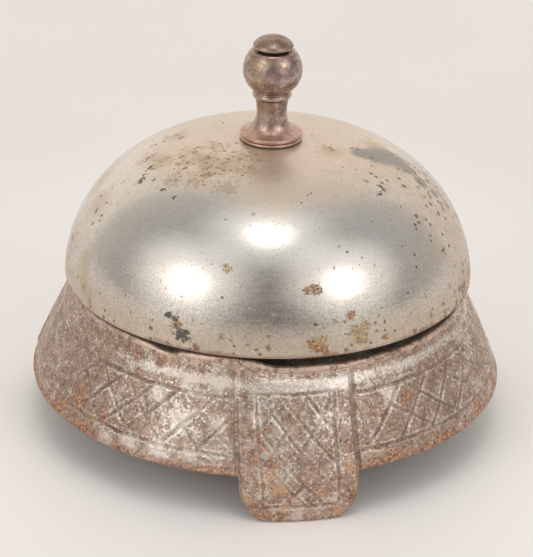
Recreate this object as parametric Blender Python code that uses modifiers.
"""Service bell: a spun gong on a hollow post over a stamped, flared base with three feet.

Pressing the button drives a rod down through the post onto a rocker lever under the deck,
and the rocker lifts the tail of a hammer that swings out against the gong's inner wall.
Lengths are in millimetres and are turned into metres when geometry is made.
The origin is on the bell's axis at the table plane, +Z up, and the front foot faces -Y.
"""

import math

import bmesh
import bpy

MM = 0.001

# ---- dimensions shared by several pieces -----------------------------------
GAP = 0.15                  # clearance between stacked pieces
SHEET = 0.9
DECK_TOP = 22.5
DECK_BOTTOM = DECK_TOP - SHEET
UNDER_DECK = DECK_BOTTOM - GAP
CROWN_Z = 54.75             # top of the gong
ROD_BORE_R = 1.45

# levers lie in the plane x = 0, with the hammer towards +Y
ROCKER_Y, ROCKER_Z = 9.0, 12.6
HAMMER_Y, HAMMER_Z = 22.0, 15.4
PIVOTS = (("rocker", ROCKER_Y, ROCKER_Z), ("hammer", HAMMER_Y, HAMMER_Z))
PIN_R, PIN_HOLE_R = 0.9, 1.05
SLOT_Y0, SLOT_Y1, SLOT_HALF = 21.0, 26.6, 3.4
RIVETS = (("inner", 14.0), ("outer", 30.0))     # name, Y
RIVET_HOLE_R = 1.4
SIDES = ((-1, "left"), (1, "right"))            # sign of X, name

# ---- turns of pieces, in degrees ---------------------------------------------
YZ_PLANE = (90, 0, 90)      # an outline's x and y become world Y and Z
Z_TO_X = (0, 90, 0)
Y_AXIS_CUT = (90, 0, 0)
Z_TO_Y = (-90, 0, 0)

# ---- looks ---------------------------------------------------------------------
STEEL = dict(colour=(0.46, 0.45, 0.43), roughness=0.42, metallic=1.0)
NICKEL = dict(colour=(0.70, 0.68, 0.64), roughness=0.32, metallic=1.0)
OXIDE = dict(colour=(0.44, 0.36, 0.31), roughness=0.50, metallic=0.9)
BROWN = dict(colour=(0.22, 0.15, 0.10), roughness=0.34, metallic=1.0)
BRASS = dict(colour=(0.62, 0.47, 0.22), roughness=0.35, metallic=1.0)
LEATHER = dict(colour=(0.28, 0.16, 0.09), roughness=0.80, metallic=0.0)

for old in list(bpy.data.objects):
    bpy.data.objects.remove(old, do_unlink=True)

parts = bpy.data.collections.new("service_bell")
cutters = bpy.data.collections.new("cutters")
for group in (parts, cutters):
    bpy.context.scene.collection.children.link(group)


# ---- helpers -------------------------------------------------------------------
def material(name, colour, roughness, metallic):
    mat = bpy.data.materials.new(name)
    mat.use_nodes = True
    bsdf = mat.node_tree.nodes["Principled BSDF"]
    bsdf.inputs["Base Color"].default_value = (*colour, 1.0)
    bsdf.inputs["Roughness"].default_value = roughness
    bsdf.inputs["Metallic"].default_value = metallic
    return mat


def place(obj, look):
    """Link a piece with its own material, or, without a look, link a hidden Boolean tool."""
    if look:
        parts.objects.link(obj)
        obj.data.materials.append(material(obj.name, **look))
    else:
        cutters.objects.link(obj)
        obj.hide_render = True
        obj.display_type = "WIRE"
    return obj


def pose(obj, turn, at):
    """Turn by degrees and move by millimetres."""
    obj.rotation_euler = [math.radians(angle) for angle in turn]
    obj.location = [c * MM for c in at]
    return obj


def turned(name, profile, steps, closed=True, look=None, turn=(0, 0, 0), at=(0, 0, 0)):
    """A profile of (radius, height) pairs turned about Z; it runs down its outer side."""
    mesh = bpy.data.meshes.new(name)
    verts = [(r * MM, 0.0, z * MM) for r, z in profile]
    edges = [(i, i + 1) for i in range(len(verts) - 1)]
    if closed:
        edges.append((len(verts) - 1, 0))
    mesh.from_pydata(verts, edges, [])
    obj = bpy.data.objects.new(name, mesh)
    screw = obj.modifiers.new("turn", "SCREW")
    screw.axis = "Z"
    screw.angle = 2 * math.pi
    screw.steps = screw.render_steps = steps
    screw.use_merge_vertices = True
    screw.merge_threshold = 1e-6
    screw.use_smooth_shade = True
    return place(pose(obj, turn, at), look)


def box(name, low, high, look=None):
    """A box from its lowest to its highest corner."""
    mesh = bpy.data.meshes.new(name)
    bm = bmesh.new()
    bmesh.ops.create_cube(bm, size=1.0)
    for v in bm.verts:
        v.co = [(lo + (c + 0.5) * (hi - lo)) * MM for c, lo, hi in zip(v.co, low, high)]
    bm.to_mesh(mesh)
    bm.free()
    return place(bpy.data.objects.new(name, mesh), look)


def rod(name, radius, length, steps, look=None, turn=(0, 0, 0), at=(0, 0, 0)):
    """A cylinder centred on its origin along its own Z."""
    mesh = bpy.data.meshes.new(name)
    bm = bmesh.new()
    bmesh.ops.create_cone(bm, cap_ends=True, segments=steps, radius1=radius * MM,
                          radius2=radius * MM, depth=length * MM)
    bm.to_mesh(mesh)
    bm.free()
    return place(pose(bpy.data.objects.new(name, mesh), turn, at), look)


def as_mesh(curve_obj, look):
    """The curve object's shape as a welded mesh in the same place; the curve goes."""
    name = curve_obj.name
    bpy.context.view_layer.update()
    depsgraph = bpy.context.evaluated_depsgraph_get()
    mesh = bpy.data.meshes.new_from_object(curve_obj.evaluated_get(depsgraph))
    bm = bmesh.new()
    bm.from_mesh(mesh)
    bmesh.ops.remove_doubles(bm, verts=bm.verts, dist=1e-6)
    bmesh.ops.recalc_face_normals(bm, faces=bm.faces)
    bm.to_mesh(mesh)
    bm.free()
    matrix = curve_obj.matrix_world.copy()
    bpy.data.objects.remove(curve_obj, do_unlink=True)
    obj = bpy.data.objects.new(name, mesh)
    mesh.name = name
    obj.matrix_world = matrix
    return place(obj, look)


def poly_curve(name, points, dimensions):
    """A linked curve object with one straight-sided spline through (x, y, z) points."""
    curve = bpy.data.curves.new(name, "CURVE")
    curve.dimensions = dimensions
    spline = curve.splines.new("POLY")
    spline.points.add(len(points) - 1)
    for p, (x, y, z) in zip(spline.points, points):
        p.co = (x * MM, y * MM, z * MM, 1.0)
    obj = bpy.data.objects.new(name, curve)
    parts.objects.link(obj)
    return obj


def plate(name, outline, thickness, look=None, turn=(0, 0, 0), at=(0, 0, 0)):
    """A flat outline in its own XY plane, thickened about that plane, then turned and placed."""
    obj = poly_curve(name, [(x, y, 0.0) for x, y in outline], "2D")
    obj.data.fill_mode = "BOTH"
    obj.data.extrude = thickness * MM / 2
    obj.data.splines[0].use_cyclic_u = True
    return as_mesh(pose(obj, turn, at), look)


def wire(name, points, radius, look):
    """A round wire through the points, with closed ends."""
    obj = poly_curve(name, points, "3D")
    obj.data.bevel_depth = radius * MM
    obj.data.bevel_resolution = 1
    obj.data.use_fill_caps = True
    return as_mesh(obj, look)


def combine(obj, tool, operation):
    """A Boolean modifier with the exact solver."""
    mod = obj.modifiers.new(operation.lower(), "BOOLEAN")
    mod.operation = operation
    mod.object = tool
    mod.solver = "EXACT"


def arc(cx, cy, radius, start, end, count):
    """Points on an arc, angles in degrees from the first axis towards the second."""
    out = []
    for i in range(count):
        a = math.radians(start + (end - start) * i / (count - 1))
        out.append((cx + radius * math.cos(a), cy + radius * math.sin(a)))
    return out


def cut_slot(obj, name, z0, z1):
    """Opening that the hammer arm passes through."""
    slot = box(name, (-SLOT_HALF, SLOT_Y0, z0), (SLOT_HALF, SLOT_Y1, z1))
    combine(obj, slot, "DIFFERENCE")


def cut_rivet_holes(obj, prefix, length, z):
    for label, y in RIVETS:
        hole = rod(prefix + label, RIVET_HOLE_R, length, 20, at=(0, y, z))
        combine(obj, hole, "DIFFERENCE")


def cut_pin_bore(obj, name, length, y, z):
    """Hole along X for a lever pin."""
    bore = rod(name, PIN_HOLE_R, length, 20, turn=Z_TO_X, at=(0, y, z))
    combine(obj, bore, "DIFFERENCE")


def add_side_plates(obj, prefix, outline, thickness, x):
    """Join a pair of plates with a (y, z) outline, centred at -x and +x."""
    for side, label in SIDES:
        tool = plate(prefix + label, outline, thickness, turn=YZ_PLANE, at=(side * x, 0, 0))
        combine(obj, tool, "UNION")


# ---- base shell and feet -----------------------------------------------------------
BASE_STEPS = 60
RIM_R, RIM_Z = 44.5, 8.6
SHOULDER_R, SHOULDER_Z = 37.0, 25.2
SKIRT_BULGE = 0.2475
SKIRT_TOP_Z = SHOULDER_Z - 0.9
SKIRT_INNER_TOP_Z = SHOULDER_Z - 1.4
SKIRT_WALL = SHEET * 1.05
SKIRT_LEVELS = (0.0, 0.33, 0.66, 1.0)
BEAD_R, BEAD_Z, BEAD_RAD = 36.75, 25.45, 1.1
DECK_R, POST_HOLE_R = 34.2, 3.2

FOOT_COUNT = 3
FOOT_TOP_HALF, FOOT_RIM_HALF, FOOT_BOTTOM_HALF = 10.3, 10.9, 5.6
FOOT_CHAMFER_Z, FOOT_MID_Z = 4.6, 16.5
FOOT_PROUD, FOOT_EMBED = 1.2, 0.45          # out of and into the skirt's outer face
FOOT_BOTTOM_OUT, FOOT_BOTTOM_IN = 44.9, 43.6
FOOT_CUT_R, FOOT_CUT_DEPTH = 44.0, 24.0
FOOT_CUT_Z0, FOOT_CUT_Z1 = -0.4, 26.0


def skirt(z):
    """Radius of the skirt's outer face at height z, a straight flare with a slight bulge."""
    t = (z - RIM_Z) / (SHOULDER_Z - RIM_Z)
    return RIM_R - (RIM_R - SHOULDER_R) * t + SKIRT_BULGE * math.sin(math.pi * t)


def skirt_points(top_z, levels, inset=0.0):
    heights = [RIM_Z + (top_z - RIM_Z) * level for level in levels]
    return [(skirt(z) - inset, z) for z in heights]


def base_profile():
    deck_top = [(POST_HOLE_R, DECK_TOP), (DECK_R, DECK_TOP), (DECK_R + 1.1, DECK_TOP + 0.9)]
    bead = arc(BEAD_R, BEAD_Z, BEAD_RAD, 200, -35, 8)
    outer = skirt_points(SKIRT_TOP_Z, SKIRT_LEVELS[::-1])
    inner = skirt_points(SKIRT_INNER_TOP_Z, SKIRT_LEVELS, SKIRT_WALL)
    deck_under = [(DECK_R + 0.9, DECK_BOTTOM + 0.25), (DECK_R, DECK_BOTTOM),
                  (POST_HOLE_R, DECK_BOTTOM)]
    return deck_top + bead + outer + inner + deck_under


def add_feet(base):
    """Each foot is a ring against the skirt, cut to the foot's outline as seen from outside."""
    ring_profile = [
        (skirt(SKIRT_TOP_Z) - 0.35, SHOULDER_Z - 0.35),
        (skirt(SKIRT_TOP_Z) + FOOT_PROUD * 0.75, SHOULDER_Z - 0.7),
        (skirt(FOOT_MID_Z) + FOOT_PROUD, FOOT_MID_Z),
        (skirt(RIM_Z) + FOOT_PROUD, RIM_Z),
        (FOOT_BOTTOM_OUT, 0.0), (FOOT_BOTTOM_IN, 0.0),
        (skirt(RIM_Z) - FOOT_EMBED, RIM_Z - 0.5),
        (skirt(FOOT_MID_Z) - FOOT_EMBED, FOOT_MID_Z),
    ]
    # (half width, z); it ends below the table plane, so the ring's flat bottom stays
    half = [(FOOT_TOP_HALF, FOOT_CUT_Z1), (FOOT_RIM_HALF, RIM_Z),
            (FOOT_RIM_HALF, FOOT_CHAMFER_Z), (FOOT_BOTTOM_HALF, FOOT_CUT_Z0)]
    outline = [(-x, z) for x, z in half] + half[::-1]
    for k in range(FOOT_COUNT):
        angle = 360.0 / FOOT_COUNT * k
        a = math.radians(angle)
        cutter = plate("foot_cut_%d" % k, outline, FOOT_CUT_DEPTH, turn=(90, 0, angle),
                       at=(FOOT_CUT_R * math.sin(a), -FOOT_CUT_R * math.cos(a), 0))
        foot = turned("foot_%d" % k, ring_profile, BASE_STEPS)
        combine(foot, cutter, "INTERSECT")
        combine(base, foot, "UNION")


def build_base():
    base = turned("base_shell", base_profile(), BASE_STEPS, look=OXIDE)
    add_feet(base)
    cut_slot(base, "hammer_slot", 18.0, 26.0)
    cut_rivet_holes(base, "rivet_hole_", 8.0, 21.5)
    base.data.shade_smooth()
    base.data.set_sharp_from_angle(angle=math.radians(35.0))


# ---- gong ---------------------------------------------------------------------------
GONG_R, GONG_RIM_Z = 38.0, 28.6
GONG_RISE = CROWN_Z - GONG_RIM_Z
GONG_EXP_R, GONG_EXP_Z = 0.716, 1.078       # shape of the dome's superellipse
GONG_WALL, GONG_HOLE_R = 1.0, 2.6
DOME_END_R = 6.2                            # the outer dome curve stops here, near the hole
OUTER_SPANS, INNER_SPANS = 10, 8
INNER_REACH = 0.995                         # part of the dome curve that the inner wall follows


def gong_point(t, inset=0.0):
    """Point of the dome at parameter t (0 at the rim), moved in along the normal."""
    c, s = math.cos(t), math.sin(t)
    r = GONG_R * c ** GONG_EXP_R
    z = GONG_RIM_Z + GONG_RISE * s ** GONG_EXP_Z
    dr = GONG_R * GONG_EXP_R * c ** (GONG_EXP_R - 1) * -s
    # the lower limit on s keeps the normal defined at the rim
    dz = GONG_RISE * GONG_EXP_Z * max(s, 1e-6) ** (GONG_EXP_Z - 1) * c
    n = math.hypot(dr, dz)
    return r - inset * dz / n, z + inset * dr / n


def build_gong():
    end_t = math.acos((DOME_END_R / GONG_R) ** (1 / GONG_EXP_R))
    outer = [gong_point(end_t * (1 - i / OUTER_SPANS)) for i in range(OUTER_SPANS + 1)]
    inner = [gong_point(end_t * (i / INNER_SPANS) * INNER_REACH, GONG_WALL)
             for i in range(INNER_SPANS + 1)]
    profile = ([(GONG_HOLE_R, CROWN_Z)] + outer + inner
               + [(GONG_HOLE_R, CROWN_Z - GONG_WALL)])
    turned("gong", profile, 48, look=NICKEL)


# ---- post, nut and washers --------------------------------------------------------
SHANK_R, FLANGE_R, TUBE_R, SEAT_R, NECK_R = 2.9, 5.5, 3.6, 5.0, 2.2
POST_BOTTOM, POST_TOP = 18.4, 57.2
SEAT_Z0, SEAT_Z1 = 51.9, 52.9
POST_WASHER_Z0 = 20.75
NUT_FLATS = 9.0
NUT_Z0, NUT_Z1 = 18.65, POST_WASHER_Z0 - GAP
GONG_WASHER_Z0 = SEAT_Z1 + GAP
FINIAL_WASHER_Z0 = CROWN_Z + GAP
FINIAL_WASHER_Z1 = FINIAL_WASHER_Z0 + 0.4
WASHER_BORE_R = 2.4


def build_post():
    turned("center_post", [
        (NECK_R, POST_TOP), (NECK_R, SEAT_Z1), (SEAT_R, SEAT_Z1), (SEAT_R, SEAT_Z0),
        (TUBE_R, SEAT_Z0 - 1.2), (TUBE_R, 26.2), (4.3, 25.2), (FLANGE_R, 25.0),
        (FLANGE_R, DECK_TOP + GAP), (SHANK_R, DECK_TOP + GAP),
        (SHANK_R, POST_BOTTOM + 0.3), (SHANK_R - 0.3, POST_BOTTOM),
        (ROD_BORE_R, POST_BOTTOM), (ROD_BORE_R, POST_TOP)], 24, look=STEEL)


def build_nut():
    centre = (0, 0, (NUT_Z0 + NUT_Z1) / 2)
    corner_r = NUT_FLATS / 2 / math.cos(math.pi / 6)
    nut = rod("post_nut", corner_r, NUT_Z1 - NUT_Z0, 6, look=STEEL, at=centre)
    bore = rod("nut_bore", SHANK_R + 0.2, 6.0, 32, at=centre)
    combine(nut, bore, "DIFFERENCE")


def flat_washer(name, outer, bore, z0, z1, look):
    turned(name, [(outer, z1), (outer, z0), (bore, z0), (bore, z1)], 32, look=look)


def build_washers():
    flat_washer("post_washer", 5.2, 3.1, POST_WASHER_Z0, UNDER_DECK, STEEL)
    flat_washer("gong_washer", 5.6, WASHER_BORE_R, GONG_WASHER_Z0, GONG_WASHER_Z0 + 0.5, LEATHER)
    turned("finial_washer", [
        (5.75, FINIAL_WASHER_Z1), (5.8, FINIAL_WASHER_Z0 + 0.2), (5.75, FINIAL_WASHER_Z0),
        (WASHER_BORE_R, FINIAL_WASHER_Z0), (WASHER_BORE_R, FINIAL_WASHER_Z1)], 32, look=BROWN)


# ---- finial -----------------------------------------------------------------------------
FINIAL_Z0 = FINIAL_WASHER_Z1 + GAP
BUTTON_WELL_R, BUTTON_WELL_Z = 2.95, 66.0
# (radius, z) down the outside, then up the bore to the button's well
FINIAL = [
    (BUTTON_WELL_R, 71.6), (4.0, 71.6), (4.5, 70.9), (4.94, 70.1), (5.22, 69.3), (5.38, 68.5),
    (5.4, 67.7), (5.3, 67.0), (5.05, 66.3), (4.71, 65.5), (4.17, 64.8), (3.45, 64.1),
    (3.25, 63.85), (3.55, 63.5), (3.55, 63.05), (3.13, 62.6), (2.9, 61.7), (2.74, 60.2),
    (2.85, 58.8), (3.15, 57.9), (3.6, 57.1), (4.2, 56.6), (5.1, 56.25), (5.7, 56.1),
    (5.75, 55.75), (5.6, FINIAL_Z0),
    (2.4, FINIAL_Z0), (2.4, 57.5), (ROD_BORE_R, 57.7),
    (ROD_BORE_R, BUTTON_WELL_Z), (BUTTON_WELL_R, BUTTON_WELL_Z),
]


def build_finial():
    turned("finial", FINIAL, 28, look=BROWN)


# ---- plunger: button, rod, clip, spring -------------------------------------------
CAP_R, CAP_INNER_Z = 3.66, 73.5
ROD_R, ROD_TIP_Z, ROD_TOP_Z = 1.2, 14.66, CAP_INNER_Z - GAP
GROOVE_R, GROOVE_Z0, GROOVE_Z1 = 0.9, 15.25, 16.15
CLIP_OUTER_R, CLIP_INNER_R, CLIP_T = 2.3, 1.05, 0.55
COIL_R, COIL_Z0, COIL_Z1, COIL_WIRE_R = 1.75, 66.45, 72.0, 0.25
COIL_TURNS, COIL_PER_TURN = 6, 12


def build_button():
    turned("push_button", [
        (0.0, 74.6), (1.1, 74.5), (2.1, 74.2), (2.9, 73.75), (3.4, 73.3), (CAP_R, 72.9),
        (CAP_R, 72.7), (3.45, 72.35), (3.0, 71.95), (2.75, 71.9), (2.75, 67.2), (2.3, 67.2),
        (2.3, 72.4), (1.35, 72.4), (1.35, CAP_INNER_Z), (0.0, CAP_INNER_Z)],
        24, closed=False, look=BROWN)


def build_plunger_rod():
    turned("plunger_rod", [
        (0.0, ROD_TOP_Z), (1.0, ROD_TOP_Z), (ROD_R, ROD_TOP_Z - 0.2), (ROD_R, GROOVE_Z1),
        (GROOVE_R, GROOVE_Z1), (GROOVE_R, GROOVE_Z0), (ROD_R, GROOVE_Z0),
        (ROD_R, ROD_TIP_Z + 0.45), (1.0, ROD_TIP_Z + 0.17), (0.55, ROD_TIP_Z + 0.04),
        (0.0, ROD_TIP_Z)], 24, closed=False, look=STEEL)


def build_clip():
    """Open ring round the rod's groove."""
    outline = arc(0, 0, CLIP_OUTER_R, -60, 240, 21) + arc(0, 0, CLIP_INNER_R, 225, -45, 16)
    plate("plunger_clip", outline, CLIP_T, look=STEEL, at=(0, 0, (GROOVE_Z0 + GROOVE_Z1) / 2))


def build_plunger_spring():
    count = COIL_TURNS * COIL_PER_TURN
    coil = []
    for i in range(count + 1):
        a = 2 * math.pi * i / COIL_PER_TURN
        z = COIL_Z0 + (COIL_Z1 - COIL_Z0) * i / count
        coil.append((COIL_R * math.cos(a), COIL_R * math.sin(a), z))
    wire("plunger_spring", coil, COIL_WIRE_R, STEEL)


# ---- lever bracket: a channel under the deck, with cheeks that carry both pins ----
CHEEK_X, CHEEK_T = 4.5, 0.8
BRACKET_HALF = CHEEK_X + CHEEK_T / 2
BRACKET_Y0, BRACKET_Y1 = 6.4, 33.0
BRACKET_Z0 = UNDER_DECK - CHEEK_T
CHEEK_TOP = 21.2
# (y, z) outline, from the inner top corner along the lower edge to the outer top corner
CHEEK = [
    (BRACKET_Y0, CHEEK_TOP), (BRACKET_Y0, 14.0), (ROCKER_Y - 1.9, 11.4), (ROCKER_Y - 0.9, 10.7),
    (ROCKER_Y + 0.9, 10.7), (ROCKER_Y + 1.9, 11.4), (HAMMER_Y - 2.0, 13.2),
    (HAMMER_Y + 1.2, 13.2), (HAMMER_Y + 2.3, 14.4), (HAMMER_Y + 3.4, 18.6),
    (BRACKET_Y1, 19.6), (BRACKET_Y1, CHEEK_TOP),
]
# (radius, distance from the middle) of one end of a lever pin
PIN_END = [(0.0, 5.75), (0.9, 5.75), (1.5, 5.45), (1.5, 5.1), (PIN_R, 5.1)]


def build_bracket():
    bracket = box("lever_bracket", (-BRACKET_HALF, BRACKET_Y0, BRACKET_Z0),
                  (BRACKET_HALF, BRACKET_Y1, UNDER_DECK), look=STEEL)
    add_side_plates(bracket, "cheek_", CHEEK, CHEEK_T, CHEEK_X)
    cut_slot(bracket, "bracket_slot", 19.5, 22.5)
    for label, y, z in PIVOTS:
        cut_pin_bore(bracket, label + "_pin_bore", 20.0, y, z)
    cut_rivet_holes(bracket, "bracket_hole_", 4.0, 21.0)


def build_pins():
    profile = PIN_END + [(r, -z) for r, z in reversed(PIN_END)]
    for label, y, z in PIVOTS:
        turned(label + "_pin", profile, 20, closed=False, look=STEEL, turn=Z_TO_X, at=(0, y, z))


def build_bracket_rivets():
    top, bottom = DECK_TOP + GAP, BRACKET_Z0 - GAP      # undersides of the two heads
    profile = [(0.0, 23.6), (1.3, 23.4), (2.1, 22.95), (2.2, top), (1.2, top), (1.2, bottom),
               (2.2, bottom), (2.1, 20.2), (1.3, 19.8), (0.0, 19.6)]
    for label, y in RIVETS:
        turned("bracket_rivet_" + label, profile, 16, closed=False, look=STEEL, at=(0, y, 0))


# ---- rocker lever ---------------------------------------------------------------------
ROCKER_TOP, ROCKER_T = 14.4, 0.9
ROCKER_HALF, ROCKER_Y0, ROCKER_Y1 = 3.0, -2.8, 17.5
TRIM = [(2.05, 11.9), (6.0, 11.9), (6.0, 19.0), (2.05, 19.0)]   # (x, y) on the +X side
# (y, z) outline of an ear round the pin
EAR = [
    (ROCKER_Y - 3.2, ROCKER_TOP - 0.4), (ROCKER_Y - 1.7, ROCKER_Z - 0.9),
    (ROCKER_Y - 0.8, ROCKER_Z - 1.75), (ROCKER_Y + 0.8, ROCKER_Z - 1.75),
    (ROCKER_Y + 1.7, ROCKER_Z - 0.9), (ROCKER_Y + 3.2, ROCKER_TOP - 0.4),
]


def build_rocker():
    """A flat lever with two ears, narrowed at its +Y end."""
    rocker = box("rocker_lever", (-ROCKER_HALF, ROCKER_Y0, ROCKER_TOP - ROCKER_T),
                 (ROCKER_HALF, ROCKER_Y1, ROCKER_TOP), look=STEEL)
    add_side_plates(rocker, "ear_", EAR, ROCKER_T, 2.5)
    cut_pin_bore(rocker, "rocker_bore", 12.0, ROCKER_Y, ROCKER_Z)
    for side, label in SIDES:
        trim = plate("rocker_trim_" + label, [(side * x, y) for x, y in TRIM], 3.0,
                     at=(0, 0, ROCKER_TOP))
        combine(rocker, trim, "DIFFERENCE")


# ---- hammer ------------------------------------------------------------------------------
ARM_HALF, HUB_R = 1.6, 1.95
HEAD_Z, HEAD_HOLE_R = 34.5, 0.95
# (y, z) outline: tail, under the hub, up the +Y side, back down, over the hub
ARM = (
    [(15.2, 15.9), (15.2, 14.7), (HAMMER_Y - 1.75, 14.7)]
    + arc(HAMMER_Y, HAMMER_Z, HUB_R, 215, 350, 8)
    + [(HAMMER_Y + 2.35, 17.6), (28.2, 30.4), (29.2, 31.8), (29.2, 37.2), (28.8, 37.6),
       (28.3, 37.6), (27.9, 37.2), (27.9, 32.1), (27.0, 30.9), (HAMMER_Y + 0.9, 17.9)]
    + arc(HAMMER_Y, HAMMER_Z, HUB_R, 100, 165, 5)
)
# (radius, y) profiles of the head and of the rivet through it, tops facing +Y
HEAD = [
    (0.0, 34.95), (0.9, 34.85), (1.7, 34.5), (2.3, 33.95), (2.7, 33.2), (2.8, 32.4), (2.8, 29.8),
    (2.5, 29.4), (HEAD_HOLE_R, 29.4), (HEAD_HOLE_R, 32.0), (0.0, 32.0),
]
HEAD_RIVET = [(0.0, 31.8), (0.8, 31.8), (0.8, 27.75), (1.6, 27.75), (1.5, 27.3), (0.9, 26.9),
              (0.0, 26.8)]

TORSION_R, TORSION_WIRE_R = 1.5, 0.22
TORSION_X0, TORSION_X1 = 3.65, 2.05
TORSION_TURNS, TORSION_PER_TURN, TORSION_START = 3, 12, 160.0


def build_hammer_arm():
    arm = plate("hammer_arm", ARM, 2 * ARM_HALF, look=STEEL, turn=YZ_PLANE)
    cut_pin_bore(arm, "arm_bore", 8.0, HAMMER_Y, HAMMER_Z)
    hole = rod("head_hole", HEAD_HOLE_R, 5.0, 20, turn=Y_AXIS_CUT, at=(0, 28.5, HEAD_Z))
    combine(arm, hole, "DIFFERENCE")


def build_hammer_head():
    for name, profile, steps, look in (("hammer_head", HEAD, 28, BRASS),
                                       ("hammer_rivet", HEAD_RIVET, 20, STEEL)):
        turned(name, profile, steps, closed=False, look=look, turn=Z_TO_Y, at=(0, 0, HEAD_Z))


def build_hammer_spring():
    """Torsion coil beside the arm: one leg under the bracket, the other across the arm's +Y side."""
    leg = [(TORSION_X0, HAMMER_Y - 4.2, 19.9), (TORSION_X0, HAMMER_Y - 3.3, 18.9)]
    count = TORSION_TURNS * TORSION_PER_TURN
    coil = []
    for i in range(count + 1):
        a = math.radians(TORSION_START - 360.0 * i / TORSION_PER_TURN)
        x = TORSION_X0 - (TORSION_X0 - TORSION_X1) * i / count
        coil.append((x, HAMMER_Y + TORSION_R * math.cos(a), HAMMER_Z + TORSION_R * math.sin(a)))
    tail = [(1.98, HAMMER_Y + 0.6, 17.6), (1.98, HAMMER_Y + 4.2, 19.4), (1.6, 26.9, 20.3),
            (0.2, 26.75, 20.2)]
    wire("hammer_spring", leg + coil + tail, TORSION_WIRE_R, STEEL)


def build_buffer():
    """Leather stop on the deck."""
    pad = box("hammer_buffer", (-2.6, 18.9, DECK_TOP + GAP), (2.6, 20.9, 25.6), look=LEATHER)
    bevel = pad.modifiers.new("soft_edges", "BEVEL")
    bevel.width = 0.35 * MM
    bevel.segments = 1


build_base()
build_gong()
build_post()
build_nut()
build_washers()
build_finial()
build_button()
build_plunger_rod()
build_clip()
build_plunger_spring()
build_bracket()
build_pins()
build_bracket_rivets()
build_rocker()
build_hammer_arm()
build_hammer_head()
build_hammer_spring()
build_buffer()
